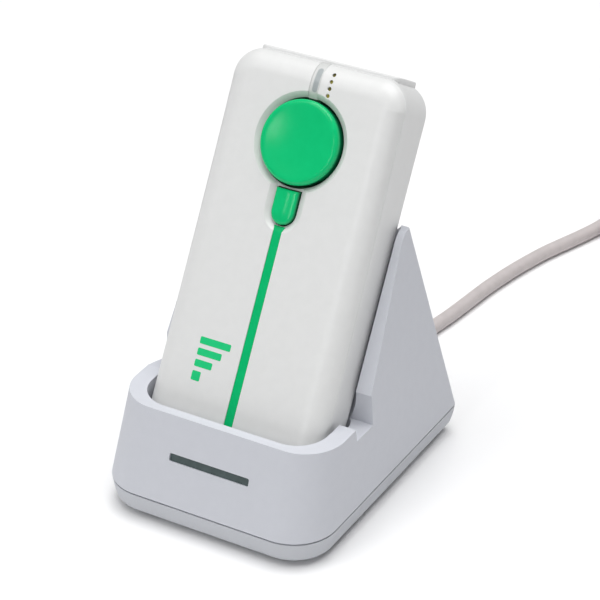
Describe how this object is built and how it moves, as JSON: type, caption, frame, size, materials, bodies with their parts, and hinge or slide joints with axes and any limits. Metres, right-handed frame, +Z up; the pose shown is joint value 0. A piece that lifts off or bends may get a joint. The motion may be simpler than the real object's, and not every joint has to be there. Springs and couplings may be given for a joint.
{
  "type": "cordless handheld scanner with charging cradle",
  "caption": "Flat palm-sized cordless code scanner with a large round trigger button, leaning back in a desktop charging cradle with a thin lead and plug.",
  "frame": {"origin": "on the table, under the middle of the cradle", "axes": "+Z up, +X to the right as seen from the front, +Y to the back, where the lead leaves"},
  "size_m": [0.1197, 0.2612, 0.1166],
  "materials": {
    "cradle_plastic": "fine matte texture",
    "base_plastic": "fine matte texture",
    "foot_rubber": "matte",
    "screw_steel": "satin",
    "status_lens": "smoked gloss",
    "circuit_board": "solder mask",
    "led_white": "gloss",
    "black_plastic": "matte",
    "contact_gold": "polished plating",
    "lead_jacket": "soft vinyl",
    "plug_plastic": "soft satin",
    "plug_metal": "satin",
    "scanner_plastic": "pearl white satin",
    "accent_green": "satin",
    "button_green": "gloss",
    "clear_plastic": "clear gloss",
    "window_dark": "tinted gloss",
    "battery_wrap": "shrink film",
    "socket_plastic": "matte",
    "lens_glass": "coated gloss",
    "led_red": "gloss",
    "print_green": "printed ink"
  },
  "bodies": {
    "cradle": {"cradle_housing": "cradle_plastic", "base_plate": "base_plastic", "rubber_feet": "foot_rubber", "base_screws": "screw_steel", "status_lens": "status_lens", "cradle_board": "circuit_board", "status_leds": "led_white", "contact_block": "black_plastic", "strain_relief": "lead_jacket", "cable_lead": "lead_jacket", "cable_coil": "lead_jacket", "cable_tail": "lead_jacket", "plug_body": "plug_plastic", "plug_shell": "plug_metal", "plug_tongue": "plug_plastic"},
    "scanner": {"front_shell": "scanner_plastic", "rear_shell": "scanner_plastic", "accent_strip": "accent_green", "light_pipe": "clear_plastic", "window_bezel": "scanner_plastic", "scan_window": "window_dark", "main_board": "circuit_board", "trigger_switch": "black_plastic", "function_switch": "black_plastic", "indicator_led": "led_white", "beeper": "black_plastic", "radio_module": "plug_metal", "processor": "black_plastic", "battery": "battery_wrap", "battery_socket": "socket_plastic", "engine_frame": "black_plastic", "engine_lens": "lens_glass", "aiming_leds": "led_red", "engine_board": "circuit_board", "charge_pads": "contact_gold", "shell_screws": "screw_steel"},
    "trigger": {"trigger_button": "button_green"},
    "key": {"function_key": "button_green"},
    "pin_1": {"contact_pin_1": "contact_gold"},
    "pin_2": {"contact_pin_2": "contact_gold"},
    "pin_3": {"contact_pin_3": "contact_gold"},
    "pin_4": {"contact_pin_4": "contact_gold"}
  },
  "joints": [
    {"name": "scanner_lift", "type": "slide", "parent": "cradle", "child": "scanner", "axis": [0, 0.497, 0.8678], "range_m": [0, 0.08]},
    {"name": "trigger_press", "type": "slide", "parent": "scanner", "child": "trigger", "axis": [0, 0.8678, -0.497], "range_m": [0, 0.0009], "stiffness_N_per_m": 1500, "springref_m": -0.0003},
    {"name": "key_press", "type": "slide", "parent": "scanner", "child": "key", "axis": [0, 0.8678, -0.497], "range_m": [0, 0.0006], "stiffness_N_per_m": 1200, "springref_m": -0.0003},
    {"name": "pin_1_press", "type": "slide", "parent": "cradle", "child": "pin_1", "axis": [0, -0.497, -0.8678], "range_m": [0, 0.0006], "stiffness_N_per_m": 300, "springref_m": -0.0008},
    {"name": "pin_2_press", "type": "slide", "parent": "cradle", "child": "pin_2", "axis": [0, -0.497, -0.8678], "range_m": [0, 0.0006], "stiffness_N_per_m": 300, "springref_m": -0.0008},
    {"name": "pin_3_press", "type": "slide", "parent": "cradle", "child": "pin_3", "axis": [0, -0.497, -0.8678], "range_m": [0, 0.0006], "stiffness_N_per_m": 300, "springref_m": -0.0008},
    {"name": "pin_4_press", "type": "slide", "parent": "cradle", "child": "pin_4", "axis": [0, -0.497, -0.8678], "range_m": [0, 0.0006], "stiffness_N_per_m": 300, "springref_m": -0.0008}
  ]
}
